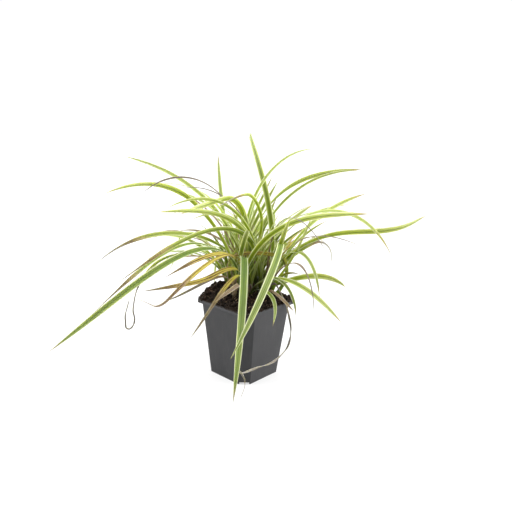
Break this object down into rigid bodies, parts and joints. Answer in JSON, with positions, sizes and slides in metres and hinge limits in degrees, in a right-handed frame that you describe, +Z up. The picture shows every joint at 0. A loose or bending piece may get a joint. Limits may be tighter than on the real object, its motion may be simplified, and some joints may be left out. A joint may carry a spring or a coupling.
{
  "type": "potted carex sedge",
  "caption": "Young variegated sedge with long arching cream-edged leaves, growing in a small square plastic nursery pot filled with peaty soil.",
  "frame": {"origin": "centre of the pot's flat underside", "axes": "+Z up out of the pot; X and Y square to the pot's sides"},
  "size_m": [0.4305, 0.4684, 0.2947],
  "materials": {
    "pot_plastic": "matte anthracite grey moulded plastic",
    "peat": null,
    "green_leaf": null,
    "yellow_leaf": null,
    "dry_leaf": null
  },
  "bodies": {
    "root": {"pot": "pot_plastic", "potting_soil": "peat", "shoot_01": "green_leaf", "shoot_02": "green_leaf", "shoot_03": "green_leaf", "shoot_04": "green_leaf", "shoot_05": "green_leaf", "shoot_06": "green_leaf", "shoot_07": "green_leaf", "shoot_08": "green_leaf", "shoot_09": "green_leaf", "shoot_10": "green_leaf", "shoot_11": "green_leaf", "shoot_12": "green_leaf", "shoot_13": "green_leaf", "shoot_14": "green_leaf", "yellow_shoot_1": "yellow_leaf", "yellow_shoot_2": "yellow_leaf", "yellow_shoot_3": "yellow_leaf", "dry_tuft_1": "dry_leaf", "dry_tuft_2": "dry_leaf", "dry_tuft_3": "dry_leaf", "dry_tuft_4": "dry_leaf"}
  },
  "joints": []
}
